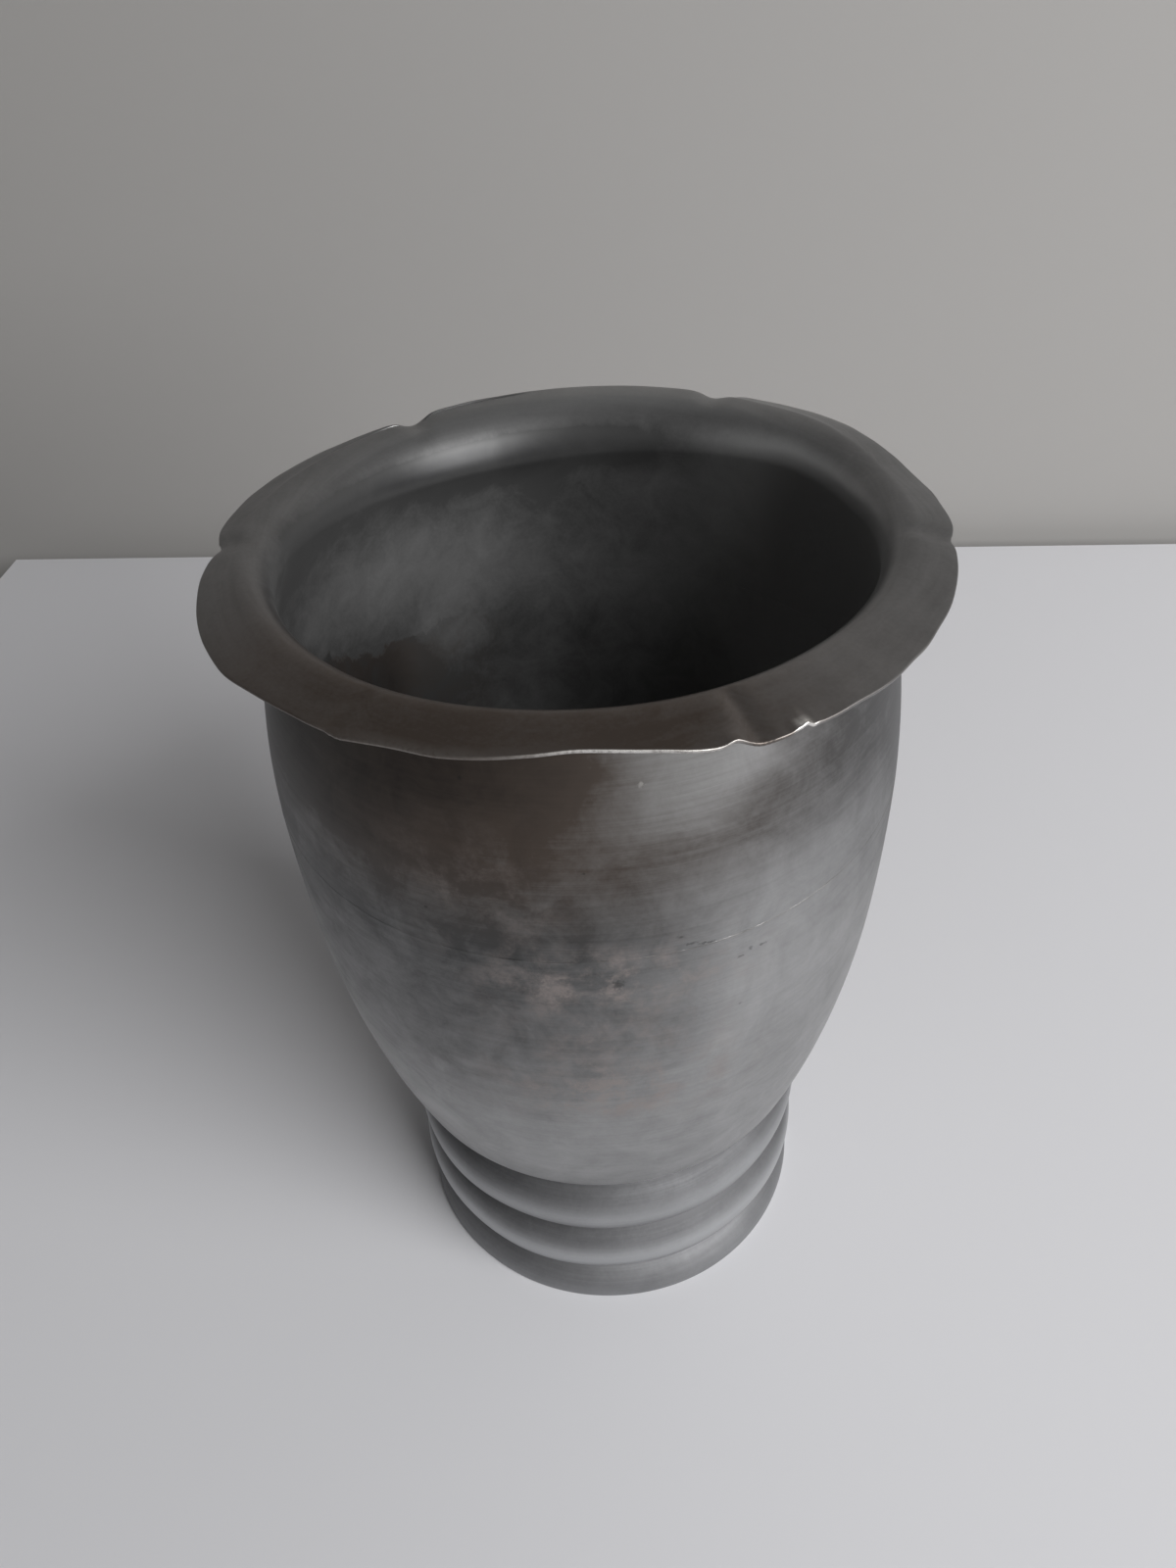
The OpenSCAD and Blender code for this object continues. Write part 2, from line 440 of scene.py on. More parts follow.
# Dark and bright spots on the outside of the body: direction, height, size, width to height
FLECKS = [
    (282.6, 92.7, 0.5, 1.5),
    (284.4, 91.4, 1.0, 5),
    (286.2, 91.0, 0.5, 2),
    (287.6, 90.9, 0.7, 3),
    (292.8, 86.8, 0.7, 3),
    (294.6, 87.5, 0.35, 1),
    (296.8, 87.3, 0.6, 2),
    (272.7, 86.8, 0.8, 1),
    (268.5, 103, 0.3, 1),
    (243, 96, 0.35, 1),
]
PIPS = [(277.7, 112.8, 0.35, 1)]
# How strong these spots are
SPOT_SHARE = 0.5
# How much the stain under the tide line darkens the inside
TIDE_DARK = 0.4
# Spacing of the pits, and depth and strength of the fine relief
PIT_SPACING = 9
BUMP_DEPTH = 0.05
BUMP_STRENGTH = 0.25


def even_scale(size):
    """A scale that makes a pattern about size millimetres across."""
    return (1 / size,) * 3


# Noise patterns of the metal: scale along each axis, detail, roughness and twist. Those with small
# scales across the beaker and a large one up it are drawn out into level lines.
PATTERNS = {
    "clouds": (even_scale(20), 6, 0.6, 0.4),
    "blots": (even_scale(6), 8, 0.65, 0.6),
    "smears": (even_scale(4.5), 9, 0.68, 0.2),
    "streaks": ((0.03, 0.03, 1.3), 5, 0.65, 0),
    "lines": ((0.03, 0.03, 5.5), 4, 0.7, 0),
    "strokes": ((0.09, 0.09, 2.6), 3, 0.6, 0.3),
    "grain": (even_scale(0.5), 3, 0.6, 0),
}


class Nodes:
    """Short calls for building a node tree."""

    def __init__(self, owner):
        self.tree = owner.node_tree
        self.tree.nodes.clear()

    def add(self, kind, **settings):
        node = self.tree.nodes.new(kind)
        for name, value in settings.items():
            setattr(node, name, value)
        return node

    def put(self, socket, value):
        if isinstance(value, bpy.types.NodeSocket):
            self.tree.links.new(value, socket)
        elif isinstance(value, tuple) and len(value) == 3 and socket.type == "RGBA":
            socket.default_value = (*value, 1)
        else:
            socket.default_value = value

    def math(self, operation, a, b, clamp=False):
        node = self.add("ShaderNodeMath", operation=operation, use_clamp=clamp)
        self.put(node.inputs[0], a)
        self.put(node.inputs[1], b)
        return node.outputs[0]

    def plus(self, a, b, clamp=False):
        return self.math("ADD", a, b, clamp)

    def less(self, a, b):
        return self.math("SUBTRACT", a, b)

    def times(self, a, b, clamp=False):
        return self.math("MULTIPLY", a, b, clamp)

    def sway(self, value, pattern, share):
        """The value, moved up and down by a share of a pattern that lies around 0.5."""
        return self.plus(value, self.times(self.less(pattern, 0.5), share))

    def mix(self, share, a, b):
        """A blend of two colours."""
        node = self.add("ShaderNodeMix", data_type="RGBA")
        self.put(node.inputs[0], share)
        self.put(node.inputs[6], a)
        self.put(node.inputs[7], b)
        return node.outputs[2]

    def mixed(self, share, a, b):
        """A blend of two values."""
        node = self.add("ShaderNodeMix", data_type="FLOAT")
        self.put(node.inputs[0], share)
        self.put(node.inputs[2], a)
        self.put(node.inputs[3], b)
        return node.outputs[0]

    def span(self, value, low, high, to_low=0.0, to_high=1.0):
        """The value, eased from one range to another."""
        node = self.add("ShaderNodeMapRange", interpolation_type="SMOOTHSTEP")
        for k, x in enumerate((value, low, high, to_low, to_high)):
            self.put(node.inputs[k], x)
        return node.outputs[0]

    def place(self, scale, shift=(0, 0, 0)):
        """Object coordinates in millimetres, times a scale per axis."""
        here = self.add("ShaderNodeTexCoord").outputs["Object"]
        node = self.add("ShaderNodeMapping")
        self.put(node.inputs["Vector"], here)
        node.inputs["Scale"].default_value = [s / MM for s in scale]
        node.inputs["Location"].default_value = shift
        return node.outputs[0]

    def noise(self, where, detail, rough, twist):
        node = self.add("ShaderNodeTexNoise")
        self.put(node.inputs["Vector"], where)
        node.inputs["Scale"].default_value = 1
        node.inputs["Detail"].default_value = detail
        node.inputs["Roughness"].default_value = rough
        node.inputs["Distortion"].default_value = twist
        return node.outputs[0]

    def cells(self, where, out="Distance"):
        node = self.add("ShaderNodeTexVoronoi")
        self.put(node.inputs["Vector"], where)
        node.inputs["Scale"].default_value = 1
        return node.outputs[out]

    def mark(self, name):
        """A value that is painted on the points of the mesh."""
        return self.add("ShaderNodeAttribute", attribute_name=name).outputs["Fac"]


def spot(n, angle, z, size, flat, waver):
    """1 within a small uneven spot on the outside of the body, flat times as wide as it is tall."""
    r = wall_radius(0, z) + float(out_of_round(angle, z))
    a = math.radians(angle)
    node = n.add("ShaderNodeVectorMath", operation="DISTANCE")
    n.put(node.inputs[0], n.place((1, 1, flat)))
    node.inputs[1].default_value = (r * math.cos(a), r * math.sin(a), z * flat)
    away = n.times(node.outputs["Value"], n.span(waver, 0.3, 0.7, 0.5, 1.6))
    return n.span(away, 0.2 * size, size, 1, 0)


def tarnished(n, p, clean, dark):
    """Level of the tarnish and of the painted light and shade, from 0 to 1, and the colour that it gives
    the metal.
    """
    mottle = n.mark("mottle")
    level = n.times(mottle, n.sway(n.times(p.clouds, 0.6), p.blots, 0.7))
    level = n.less(level, n.times(mottle, 0.3))
    # This mark holds real tarnish together with painted reflection, painted highlight and painted shade.
    level = n.plus(n.mark("tarnish"), level)
    level = n.sway(level, p.streaks, n.times(p.lined, 0.22))
    level = n.sway(level, p.lines, n.times(p.lined, 0.1))
    level = n.sway(level, p.strokes, n.times(n.mark("brush"), 0.4))

    # The stain under the tide line has a ragged edge
    above = n.sway(n.sway(n.mark("tide"), p.smears, 12), p.blots, 8)
    tide = n.times(n.span(above, -0.6, 0.6, 1, 0), n.mark("silt"))
    level = n.plus(level, n.times(tide, TIDE_DARK))
    deep = n.span(level, 0.95, 1.75)
    level = n.plus(n.sway(level, p.grain, 0.12), 0, clamp=True)
    warm = n.plus(n.mark("warm"), n.times(tide, n.span(p.blots, 0.35, 0.6)), clamp=True)
    colour = n.mix(level, clean, n.mix(warm, dark, BROWN))
    return level, n.mix(deep, colour, DEEP)


def smeared(n, p, colour):
    """The colour with pale warm smears where they are marked."""
    smear = n.times(n.mark("stain"), n.span(p.smears, 0.42, 0.68), clamp=True)
    smear = n.times(smear, n.span(p.grain, 0.3, 0.6, 0.5, 1))
    return n.mix(n.times(smear, 0.75), colour, STAIN)


def pitted(n, p, shift):
    """1 in small scattered pits."""
    where = n.place(even_scale(PIT_SPACING), shift)
    pit = n.times(n.span(n.cells(where), 0.02, 0.05, 1, 0), n.span(n.cells(where, "Color"), 0.7, 0.75))
    return n.times(pit, n.span(p.blots, 0.4, 0.55))


def fine_bump(n, p, pit):
    """Fine relief of turning lines, blots, grain and pits, as a normal."""
    height = n.times(p.lines, n.times(p.lined, 0.4))
    height = n.plus(height, n.times(p.blots, 0.3))
    height = n.plus(height, n.times(p.grain, 0.2))
    bump = n.add("ShaderNodeBump")
    bump.inputs["Strength"].default_value = BUMP_STRENGTH
    bump.inputs["Distance"].default_value = BUMP_DEPTH * MM
    n.put(bump.inputs["Height"], n.less(height, pit))
    return bump.outputs[0]


def pewter(name, clean, dark, rough_low, rough_high, seed):
    """Old pewter: cloudy tarnish and painted light and shade over clean metal, with turning lines,
    stains, pits and worn edges.

    Inside the body, where it is dull, there are no lines, and a brown tide line shows how high it
    was filled.
    """
    material = bpy.data.materials.new(name)
    material.use_nodes = True
    n = Nodes(material)
    shift = (seed * 3.7, seed * 1.9, seed * 5.3)
    p = SimpleNamespace()
    for pattern, (scale, *settings) in PATTERNS.items():
        setattr(p, pattern, n.noise(n.place(scale, shift), *settings))
    dull = n.mark("dull")
    p.lined = n.span(dull, 0, 0.5, 1, 0)

    level, colour = tarnished(n, p, clean, dark)
    colour = smeared(n, p, colour)
    pit = pitted(n, p, shift)
    colour = n.mix(n.times(pit, 0.7), colour, PIT)
    for places, shade in ((FLECKS, FLECK), (PIPS, PIP)):
        for place in places:
            colour = n.mix(n.times(spot(n, *place, p.grain), SPOT_SHARE), colour, shade)
    worn = n.times(n.mark("wear"), n.span(p.grain, 0.3, 0.6, 0.5, 1), clamp=True)
    colour = n.mix(worn, colour, WORN)

    rough = n.span(level, 0, 1, rough_low, rough_high)
    rough = n.sway(rough, p.lines, n.times(p.lined, 0.12))
    rough = n.plus(rough, n.times(dull, 0.12))
    rough = n.less(rough, n.times(worn, 0.12))
    rough = n.less(rough, n.times(n.mark("polish"), 0.1))

    shader = n.add("ShaderNodeBsdfPrincipled")
    n.put(shader.inputs["Metallic"], n.span(dull, 0, 1, 0.95, 0.35))
    n.put(shader.inputs["Base Color"], colour)
    n.put(shader.inputs["Roughness"], rough)
    n.put(shader.inputs["Normal"], fine_bump(n, p, pit))
    end = n.add("ShaderNodeOutputMaterial")
    n.put(end.inputs[0], shader.outputs[0])
    return material


# The metal of each slot
METALS = {
    "pewter_upper": pewter("pewter_upper", CLEAN, DARK, 0.3, 0.4, 1),
    "pewter_lower": pewter("pewter_lower", CLEAN, DARK, 0.32, 0.42, 1),
    "pewter_foot": pewter("pewter_foot", FOOT_CLEAN, FOOT_DARK, 0.55, 0.65, 3),
    "solder": pewter("solder", SOLDER_CLEAN, DARK, 0.36, 0.48, 1),
}

# Tarnish of the body, with painted light and shade, from 0 for clean to 1 for dark and above 1 for black.
# On the outside, patches of tarnish and of painted reflection, darker to the upper left, paler under the
# rim to the right where rubbed metal and a painted reflection meet, and paler at the back as painted
# light: direction, spread, height at which it starts, height at which it is full, amount
OUTER_PATCHES_AND_REFLECTIONS = [
    (268, 25, 75, 55, -0.1),
    (282, 10, 103.5, 110, -0.54),
    (295, 7, 108.5, 112, -0.4),
    (352, 15, 60, 90, 0.45),
    (100, 60, 60, 90, -0.2),
    (222, 28, 100, 103, 0.2),
    (255, 22, 105, 112, 0.25),
]
# A small patch on the outside: direction, spread, height, spread up and down, amount
OUTER_SPOTS = [(215, 14, 97, 4, -0.1)]
# On the flange: direction, spread, amount
FLANGE_PATCHES = [(345, 45, -0.12), (308, 16, -0.15), (265, 40, 0.08), (180, 35, -0.22)]
# Pale smears on the outside: direction, spread, height, spread up and down, strength
STAINS = [
    (272, 18, 87, 4.5, 1.5),
    (272, 18, 65, 6, 1.8),
    (272, 18, 77, 8, 0.6),
    (252, 14, 99, 7, 0.5),
    (60, 30, 76, 9, 0.7),
]
# Bright wear along the rim's edge: direction, spread, amount
EDGE_WEAR = [(308, 9, -0.2), (292, 3, -0.5), (275, 12, 1), (296.6, 1.4, 1.2), (110, 70, -0.3)]
# Level of the tide line inside the body, and a height that is far above it
TIDE_Z = 88.3
NO_TIDE = 30


def inside(section):
    """1 on the inner face of the body, fading out over the roll of the mouth."""
    r, z = section[:, 0], section[:, 1]
    middle = np.array([wall(WALL_T / 2, min(h, ROLL_C[1]), ROLL_C[1] + 1)[0, 0] for h in z])
    inner = (r < middle + 2 * (z > ROLL_C[1])) * (z > FLOOR_Z - 0.01)
    return inner * fade(z, TOTAL_H - 2.8, TOTAL_H - 0.1)


def on_flange(section):
    """1 on the flange, 0 inside the mouth and on the wall."""
    return smooth(across(section), 0.02, 0.2)


def outer_tarnish(angle, z):
    """Tarnish with painted reflection: dark to the upper left, where dim surroundings are mirrored, with
    a paler side to the right and below, where the bright table is mirrored.
    """
    # Painted reflection: paler to the right and lower down where the bright table is mirrored, darker
    # higher up where the dim room is.
    right = around(angle, 302, 26) * smooth(z, 50, 86) * (1 - 0.8 * smooth(z, 92, 106))
    level = 0.43 + 0.55 * smooth(z, 50, 96) - 0.62 * right
    for turn, spread, start, full, amount in OUTER_PATCHES_AND_REFLECTIONS:
        level = level + amount * around(angle, turn, spread) * smooth(z, start, full)
    level = level + 0.06 * around(angle, 301, 9) * smooth(z, 100, 105) * fade(z, 107, 111)
    step = smooth(z, SEAM_Z - 0.3, SEAM_Z + 0.3) * fade(z, 94, 99)
    return level + 0.07 * around(angle, 266, 20) * step + spots(angle, z, OUTER_SPOTS)


def inner_tarnish(angle, z):
    """Dark tarnish, with painted light: a pale cloud to the back left where light falls into the mouth,
    rising to the left, and a paler right side that stands in for light in its shade.
    """
    # Painted pool of light on the back left of the inside.
    cloud = around(angle, 122, 44) * bell(z - 98.5 - 0.14 * apart(angle, 126), 8)
    level = 0.98 - 0.22 * cloud - 0.25 * fade(z, 60, 85)
    # Painted light on the right side of the inside, which lies in shade.
    level = level - 1.15 * around(angle, 6, 44) - 0.55 * around(angle, 38, 20) * smooth(z, 70, 85)
    return level - 0.22 * around(angle, 122, 9) * bell(z - 85, 5)


def flange_tarnish(angle, reach):
    """Dark, and paler at the back."""
    return 0.92 + swell(angle, FLANGE_PATCHES) - 0.57 * around(angle, 84, 52) * smooth(reach, 0.04, 0.26)


def body_tarnish(angle, section):
    """The outside, the inside and the flange, each with its own tarnish and painted light and shade."""
    z = section[:, 1]
    reach = across(section)
    top = on_flange(section)
    within = inside(section)
    level = outer_tarnish(angle, z) * (1 - within) * (1 - top) + inner_tarnish(angle, z) * within
    level = level + flange_tarnish(angle, reach) * top * (1 - within)

    # Paler on top of the back of the roll, with painted shade where it turns down into the mouth and a
    # painted dark band that trims the lower half of the lamp's streak
    level = level - 0.2 * around(angle, 85, 55) * bell(reach - 0.17, 0.09)
    turned = around(angle, 90, 55) * smooth(z, TOTAL_H - 12, TOTAL_H - 2.5) * fade(reach, 0, 0.16)
    under = smooth(z, TOTAL_H - 3.6, TOTAL_H - 2.6) * fade(z, TOTAL_H - 2.1, TOTAL_H - 1.1)
    return level + (0.26 * turned + 0.45 * around(angle, 120, 32) * under) * within


def tide_height(angle, section):
    """Height above the tide line inside the body, and far above it everywhere else."""
    line = TIDE_Z + 0.0027 * apart(angle, 112) ** 2 + 0.5 * ripple(angle, 23, 4, 20)
    return np.where(inside(section) > 0.5, section[:, 1] - line, NO_TIDE)


def body_silt(angle, section):
    """How strong the stain under the tide line is: strongest to the left, and fading to the right."""
    along = apart(angle, 104)
    strength = 0.3 * smooth(along, 0, 20) + 0.7 * smooth(along, 24, 36)
    return strength * fade(along, 66, 90) * inside(section)


def body_mottle(angle, section):
    """How strong the clouds are: weak on the flange, and clearest low on the outside."""
    low = fade(section[:, 1], 78, 96)
    return 0.8 + 0.12 * low - 0.55 * on_flange(section) - 0.2 * inside(section) + 0 * angle


def body_warm(angle, section):
    """Where the tarnish is brown: high on the front of the outside, and on the flange above it."""
    outer = smooth(section[:, 1], 90, 106) * around(angle, 256, 40) * (1 - inside(section))
    flange = around(angle, 255, 55) * smooth(across(section), 0.05, 0.25)
    return np.clip(outer + flange, 0, 1)


def body_stain(angle, section):
    """Where the outside has pale smears."""
    return spots(angle, section[:, 1], STAINS) * (1 - inside(section))


def body_brush(angle, section):
    """Where the outside was rubbed bright, under the rim to the right."""
    return around(angle, 284, 12) * smooth(section[:, 1], 100, 108) * (1 - inside(section))


def body_dull(angle, section):
    """How dull the metal is: only on the inside."""
    return 0.75 * inside(section) + 0 * angle


def body_polish(angle, section):
    """Where the roll of the mouth is rubbed smooth, at the back."""
    return around(angle, 112, 40) * smooth(section[:, 1], TOTAL_H - 7, TOTAL_H - 3) * inside(section)


def edge_wear(angle, section):
    """Bright metal along the rim's edge, most at the front and on the burr."""
    reach = across(section)
    edge = 0.04 + 0.1 * ripple(angle, 31, 4, 30) + swell(angle, EDGE_WEAR)
    facets = around(angle, RAG_AT, 1.6) * (0.7 + 0.5 * ripple(angle, 33, 60, 160))
    strip = 0.12 * around(angle, 250, 13) * smooth(reach, 0.86, 0.9) + facets * smooth(reach, 0.89, 0.93)
    return np.clip(edge * smooth(reach, 0.98, 0.996) + strip, 0, 1)


def some(level):
    """A mark with one level all over."""
    return lambda angle, section: level + 0 * section[:, 0] + 0 * angle


def marks(tarnish, mottle=some(0.4), dull=some(0), **others):
    """Values for each mark of the pewter: those given, and none of the rest."""
    found = {name: some(0) for name in ("warm", "stain", "brush", "silt", "wear", "polish")}
    # The first mark carries tarnish together with painted light and shade.
    found.update(tarnish=tarnish, mottle=mottle, dull=dull, tide=some(NO_TIDE))
    found.update(others)
    return found


BODY_MARKS = marks(
    body_tarnish,
    body_mottle,
    body_dull,
    warm=body_warm,
    stain=body_stain,
    brush=body_brush,
    wear=edge_wear,
    tide=tide_height,
    silt=body_silt,
    polish=body_polish,
)
SOLDER_MARKS = marks(some(0.7))


def new_piece(name, verts, faces, node, slot):
    """A mesh that stands for a node of the frame."""
    mesh = bpy.data.meshes.new(name)
    mesh.from_pydata(verts, [], faces)
    mesh.update()
    mesh.shade_smooth()
    mesh.set_sharp_from_angle(angle=SHARP_ANGLE)
    piece = bpy.data.objects.new(name, mesh)
    bpy.context.scene.collection.objects.link(piece)
    mesh.materials.append(METALS[slot])
    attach(piece, "root")
    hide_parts(node)
    return piece


def revolve(name, section, angles, place, node, slot, paint):
    """A ring with the section, placed around the axis. paint gives each mark a value at each point."""
    rows, cols = len(angles), len(section)
    r, z = place(angles, section)
    z = np.broadcast_to(z, r.shape)
    a = np.radians(angles)
    points = np.stack([r * np.cos(a), r * np.sin(a), z], -1).reshape(-1, 3)
    i = np.arange(rows)[:, None]
    j = np.arange(cols)[None, :]
    ahead = (i + 1) % rows
    up = (j + 1) % cols
    quads = np.stack([i * cols + j, ahead * cols + j, ahead * cols + up, i * cols + up], -1)
    piece = new_piece(name, points * MM, quads.reshape(-1, 4).tolist(), node, slot)
    for mark, values in paint.items():
        data = piece.data.attributes.new(mark, "FLOAT", "POINT").data
        full = np.broadcast_to(values(angles, section), r.shape)
        data.foreach_set("value", np.ascontiguousarray(full, np.float32).ravel())
    return piece


# Upper body: up the outside, under and over the flange, back over the roll and down the inside
rim_low = RIM_TOP - RIM_T * LIFT
under_z = ROLL_C[1] + UNDER_ROUND * math.sin(math.pi + SHOULDER_TURN)
upper_section = even(outline(
    wall(0, SEAM_TOP, under_z - UNDER_ROOM),
    roll(0),
    (*rim_low, RIM_ROUND),
    (*RIM_TOP, RIM_ROUND),
    roll(WALL_T)[::-1],
    wall(WALL_T, LAP_TOP + LAP_GAP, ROLL_C[1] - MOUTH_ROOM)[::-1],
    wall(LAP_T, SEAM_TOP, LAP_TOP + LAP_GAP)[::-1],
), UPPER_STEP)
revolve(
    "upper_body_shell", upper_section, RIM_STEPS, worked_rim, "upper_body", "pewter_upper", BODY_MARKS,
)

# Lower body: up the outside to the seam, the lap inside it, and down to the turned-in ledge
lower_section = even(outline(
    (BASE_R, BODY_Z, TURN_ROUND),
    wall(0, BODY_Z + TURN_ROOM, SEAM_Z),
    wall(LAP_T + FIT_GAP, SEAM_Z, LAP_TOP),
    wall(WALL_T, FLOOR_Z, LAP_TOP)[::-1],
    (SOCKET_R, FLOOR_Z),
    (SOCKET_R, BODY_Z),
), BODY_STEP)
revolve(
    "lower_body_shell", lower_section, PLAIN_STEPS, worked_wall, "lower_body", "pewter_lower", BODY_MARKS,
)


def seam_place(angle, section):
    """The solder line of the body's seam, a little proud and uneven."""
    r, z = worked_wall(angle, section)
    middle = (SEAM_Z + SEAM_TOP) / 2
    proud = smooth(section[:, 0], BELLY_R - LAP_T, BELLY_R)
    r = r + proud * (SEAM_PROUD + SEAM_WAVER * ripple(angle, 41, 5, 60))
    z = z + (section[:, 1] - middle) * SEAM_WIDEN * ripple(angle, 42, 5, 50) * proud
    return r, z


seam_inner = wall_radius(LAP_T, SEAM_Z)
seam_outer = wall_radius(0, SEAM_Z)
seam_section = even(outline(
    (seam_inner, SEAM_Z),
    (seam_outer, SEAM_Z, SEAM_ROUND),
    (seam_outer, SEAM_TOP, SEAM_ROUND),
    (seam_inner, SEAM_TOP),
), SEAM_STEP)
revolve(
    "seam_solder_line", seam_section, SEAM_STEPS, seam_place, "body_seam_solder", "solder", BODY_MARKS,
)


# Foot rings. The bulge of a ring starts a little way past its rounded lower edge.
BULGE_START = 0.09
# The pale crest of a ring, a painted reflection of the table: its height above the fullest level, its
# spread, and how far out of the groove it starts
CREST_UP = 0.1
CREST_SPREAD = 2.4
CREST_OUT = 0.4


def ring_section(base, top, lip_top, cut=0.0, socket=True):
    """Section of a foot ring. base is the level of its full underside, cut how much is cut off."""
    centre = (RING_R - RING_ROUND, base + RING_CREST)
    low = base + cut
    start = math.asin((low - centre[1]) / RING_ROUND)
    reach = GROOVE_R + GROOVE_ROUND - centre[0]
    rise = math.sqrt((RING_ROUND + GROOVE_ROUND) ** 2 - reach ** 2)
    turn = math.atan2(rise, reach)
    bulge = arc(centre, RING_ROUND, start + BULGE_START, turn, BULGE_STEP)
    groove_c = (GROOVE_R + GROOVE_ROUND, centre[1] + rise)
    hollow = arc(groove_c, GROOVE_ROUND, turn + math.pi, math.pi, GROOVE_STEP)
    foot_r = centre[0] + RING_ROUND * math.cos(start)
    inner = [(BORE_R, low)]
    if socket:
        socket_top = low + LIP_H + FIT_GAP
        inner = [(BORE_R, socket_top), (SOCKET_R, socket_top), (SOCKET_R, low)]
    return even(outline(
        (foot_r, low, EDGE_ROUND),
        bulge,
        hollow[1:],
        (GROOVE_R, top),
        (LIP_R, top),
        (LIP_R, lip_top),
        (BORE_R, lip_top),
        *inner,
    ), RING_STEP)


def ring_place(seed):
    """A foot ring that wavers a little, most at its outside."""
    def place(angle, section):
        share = smooth(section[:, 0], BORE_R, RING_R)
        r = section[:, 0] + RING_WAVER * ripple(angle, seed, 2, 9) * share
        return r, section[:, 1] + 0 * angle
    return place


def ring_tarnish(base, dark, pale):
    """Dark in the grooves, and paler by some amount on the crest, where the table's reflection is
    painted.
    """
    def tarnish(angle, section):
        level = section[:, 1] - base
        # Painted reflection: the crest is paler where the table would be mirrored.
        crest = bell(level - RING_CREST - CREST_UP, CREST_SPREAD) * (section[:, 0] > GROOVE_R + CREST_OUT)
        return dark - pale * crest + 0 * angle
    return tarnish


base_section = ring_section(BASE_UNDER, BASE_H, BASE_LIP, cut=-BASE_UNDER, socket=False)
# Each ring: node, level of its full underside, section, tarnish in its grooves, and how much paler
# its crest is painted as a reflection
RINGS = [
    ("foot_ring_top", TOP_Z, ring_section(TOP_Z, NECK_TOP, TOP_LIP), 1.0, 0.82),
    ("foot_ring_middle", MIDDLE_Z, ring_section(MIDDLE_Z, MIDDLE_Z + RING_H, MIDDLE_LIP), 1.0, 1.08),
    ("foot_ring_bottom", BASE_UNDER, base_section, 0.8, 0.3),
]
for seed, (node, base, section, dark, pale) in enumerate(RINGS, 50):
    revolve(
        node + "_turned", section, PLAIN_STEPS, ring_place(seed), node, "pewter_foot",
        marks(ring_tarnish(base, dark, pale)),
    )


# Solder beads of the foot
def solder_bead(name, low, high, seed, node):
    """A washer of solder that bulges a little at its outer edge."""
    outer = GROOVE_R + BEAD_PROUD
    section = even(outline(
        (SOCKET_R, low),
        (outer, low, BEAD_ROUND),
        (outer, high, BEAD_ROUND),
        (SOCKET_R, high),
    ), BEAD_STEP)
    return revolve(name, section, PLAIN_STEPS, ring_place(seed), node, "solder", SOLDER_MARKS)


def join(pieces):
    """Joins meshes into the first one, which keeps its name and its frame calls."""
    bpy.ops.object.select_all(action="DESELECT")
    for piece in pieces:
        piece.select_set(True)
    bpy.context.view_layer.objects.active = pieces[0]
    bpy.ops.object.join()


solder_bead("foot_joint_bead", NECK_TOP, BODY_Z, 61, "foot_joint_solder")
join([
    solder_bead("ring_seam_bead", BASE_H, BASE_H + SOLDER_T, 62, "ring_seam_solder"),
    solder_bead("ring_seam_bead_2", TOP_Z - SOLDER_T, TOP_Z, 63, "ring_seam_solder"),
])

# Floor: a slightly dished disc, closed to a pinhole at its centre. Its turned rings stay just under
# the level of the solid's top.
PINHOLE_R = 0.01
FLOOR_LOW = 0.06
TURNED_PITCH = 5.2
TURNED_HEIGHT = 0.04
DISH_DEPTH = 0.05
FLOOR_EDGE = 0.3
FLOOR_POINTS = 60
floor_r = np.linspace(PINHOLE_R, FLOOR_R - FLOOR_EDGE, FLOOR_POINTS)
dish = TURNED_HEIGHT * np.cos(floor_r * 2 * np.pi / TURNED_PITCH)
dish = dish - DISH_DEPTH * smooth(FLOOR_R - floor_r, 0, FLOOR_R)
floor_section = even(outline(
    (FLOOR_R, FLOOR_Z, FLOOR_ROUND),
    (FLOOR_R, FLOOR_TOP - FLOOR_LOW, FLOOR_ROUND),
    np.stack([floor_r, FLOOR_TOP - FLOOR_LOW + dish], 1)[::-1],
    (PINHOLE_R, FLOOR_Z),
), FLOOR_STEP)


def as_turned(angle, section):
    return section[:, 0] + 0 * angle, section[:, 1] + 0 * angle


revolve(
    "floor_disc_turned", floor_section, PLAIN_STEPS, as_turned, "floor_disc", "pewter_lower",
    marks(some(0.6), dull=some(1)),
)


# Solder fillet around the floor. Its hollow is an arc, with its centre and radius in legs of the
# fillet and its span in radians.
FILLET_RAGGED = 0.25
HOLLOW_OFF = 1.5
HOLLOW_ROUND = 1.55
HOLLOW_SPAN = (-0.32, -1.25)


def fillet_place(angle, section):
    """The fillet with an uneven inner edge."""
    r, z = worked_wall(angle, section)
    inner = smooth(FILLET_R - section[:, 0], 0.2, 1.2)
    return r - FILLET_RAGGED * inner * (0.5 + 0.5 * ripple(angle, 71, 5, 40)), z


fillet_leg = FILLET_TOP - FLOOR_TOP
hollow_c = (FILLET_R - HOLLOW_OFF * fillet_leg, FLOOR_TOP + HOLLOW_OFF * fillet_leg)
fillet_section = even(outline(
    (FILLET_R - fillet_leg, FLOOR_TOP),
    (wall_radius(WALL_T, FLOOR_TOP), FLOOR_TOP),
    (FILLET_R, FILLET_TOP),
    arc(hollow_c, HOLLOW_ROUND * fillet_leg, *HOLLOW_SPAN, HOLLOW_STEP),
), FILLET_STEP)
revolve(
    "floor_fillet", fillet_section, PLAIN_STEPS, fillet_place, "floor_solder", "solder",
    marks(some(0.9), dull=some(1)),
)

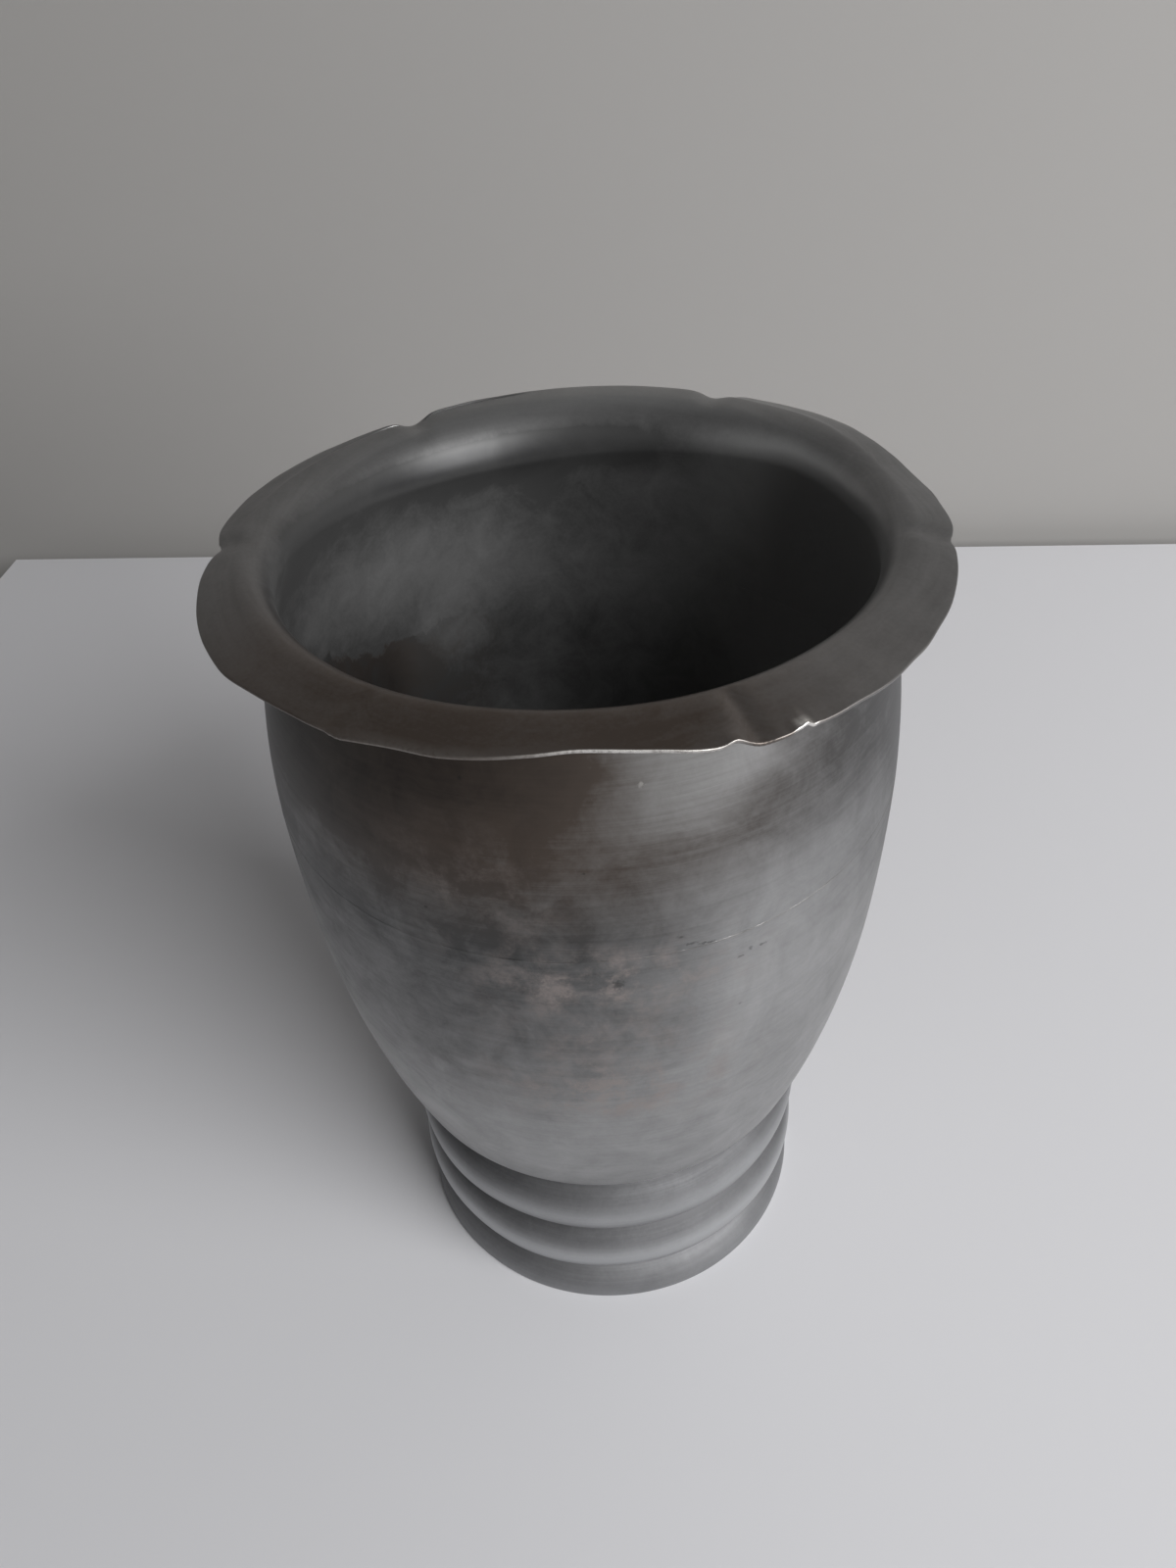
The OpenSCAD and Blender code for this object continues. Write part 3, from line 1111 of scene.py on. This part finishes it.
# Stage: a pale table top that runs back to a plain wall, which stands a little askew
STAGE_TURN = Matrix.Rotation(math.radians(-5.66), 4, "Z")
TABLE_LEFT, TABLE_RIGHT, TABLE_FRONT, TABLE_BACK = -0.208, 1.2, -0.19, 0.213
TABLE_COLOUR = (0.735, 0.735, 0.76)
TABLE_ROUGH = 0.6
WALL_Y = 0.222
WALL_HALF = 1.6
WALL_LOW = -0.3
WALL_TOP = 0.4
WALL_COLOUR = (0.36, 0.35, 0.34)
WALL_ROUGH = 0.8


def plain(name, colour, rough):
    material = bpy.data.materials.new(name)
    material.use_nodes = True
    shader = material.node_tree.nodes["Principled BSDF"]
    shader.inputs["Base Color"].default_value = (*colour, 1)
    shader.inputs["Roughness"].default_value = rough
    return material


def stage_sheet(name, corners, colour, rough):
    mesh = bpy.data.meshes.new(name)
    mesh.from_pydata(corners, [], [(0, 1, 2, 3)])
    mesh.transform(STAGE_TURN)
    mesh.materials.append(plain(name, colour, rough))
    sheet = bpy.data.objects.new(name, mesh)
    bpy.context.scene.collection.objects.link(sheet)


table_corners = [
    (TABLE_LEFT, TABLE_FRONT, 0),
    (TABLE_RIGHT, TABLE_FRONT, 0),
    (TABLE_RIGHT, TABLE_BACK, 0),
    (TABLE_LEFT, TABLE_BACK, 0),
]
wall_corners = [
    (-WALL_HALF, WALL_Y, WALL_LOW),
    (WALL_HALF, WALL_Y, WALL_LOW),
    (WALL_HALF, WALL_Y, WALL_TOP),
    (-WALL_HALF, WALL_Y, WALL_TOP),
]
stage_sheet("stage_floor", table_corners, TABLE_COLOUR, TABLE_ROUGH)
stage_sheet("stage_wall", wall_corners, WALL_COLOUR, WALL_ROUGH)

# Light: one large soft lamp from the right front
LAMP_AT = (0.605, -0.605, 0.546)
LAMP_SIZE = 0.7
LAMP_POWER = 12.3
lamp = bpy.data.lights.new("soft_window", "AREA")
lamp.shape = "RECTANGLE"
lamp.size = LAMP_SIZE
lamp.size_y = LAMP_SIZE
lamp.energy = LAMP_POWER
lamp_object = bpy.data.objects.new("soft_window", lamp)
lamp_object.location = LAMP_AT
towards = -lamp_object.location
lamp_object.rotation_euler = towards.to_track_quat("-Z", "Y").to_euler()
lamp_object.visible_camera = False
bpy.context.scene.collection.objects.link(lamp_object)

# Room: dim, brighter on the side of the lamp, and paler where the camera and the metal see it
LAMP_SIDE = (0.64, -0.77, 0)
ROOM_SPAN = (0.55, 0.95)
ROOM_LEVELS = (0.04, 0.44)
BACKDROP_SPAN = (0, 0.95)
BACKDROP_LEVELS = (0.2, 0.5)
world = bpy.data.worlds.new("room")
world.use_nodes = True
n = Nodes(world)
side = n.add("ShaderNodeVectorMath", operation="DOT_PRODUCT")
n.put(side.inputs[0], n.add("ShaderNodeTexCoord").outputs["Generated"])
side.inputs[1].default_value = LAMP_SIDE
room = n.span(side.outputs["Value"], *ROOM_SPAN, *ROOM_LEVELS)
backdrop = n.span(side.outputs["Value"], *BACKDROP_SPAN, *BACKDROP_LEVELS)
ray = n.add("ShaderNodeLightPath").outputs
seen = n.plus(ray["Is Camera Ray"], ray["Is Glossy Ray"])
seen = n.plus(seen, ray["Is Transmission Ray"], clamp=True)
back = n.add("ShaderNodeBackground")
n.put(back.inputs[0], (1, 1, 1))
n.put(back.inputs[1], n.mixed(seen, room, backdrop))
n.put(n.add("ShaderNodeOutputWorld").inputs[0], back.outputs[0])
bpy.context.scene.world = world

# Camera where the photograph was taken from
EYE = (0, -123.99, 185.82)
PITCH = math.radians(39.972)
ROLL = math.radians(-3.578)
YAW = math.radians(-0.033)
LENS = 27
SENSOR = 36
CLIP_START = 0.005
ahead = np.array([
    math.sin(YAW) * math.cos(PITCH),
    math.cos(YAW) * math.cos(PITCH),
    -math.sin(PITCH),
])
right = np.cross(ahead, (0, 0, 1))
right /= np.linalg.norm(right)
above = np.cross(right, ahead)
leaned_right = math.cos(ROLL) * right + math.sin(ROLL) * above
leaned_above = math.cos(ROLL) * above - math.sin(ROLL) * right
camera = bpy.data.cameras.new("camera")
camera.lens = LENS
camera.sensor_width = SENSOR
camera.clip_start = CLIP_START
camera_object = bpy.data.objects.new("camera", camera)
turned = Matrix(np.stack([leaned_right, leaned_above, -ahead], 1).tolist()).to_4x4()
camera_object.matrix_world = Matrix.Translation([c * MM for c in EYE]) @ turned
bpy.context.scene.collection.objects.link(camera_object)
bpy.context.scene.camera = camera_object

bpy.context.scene.view_settings.view_transform = "Standard"
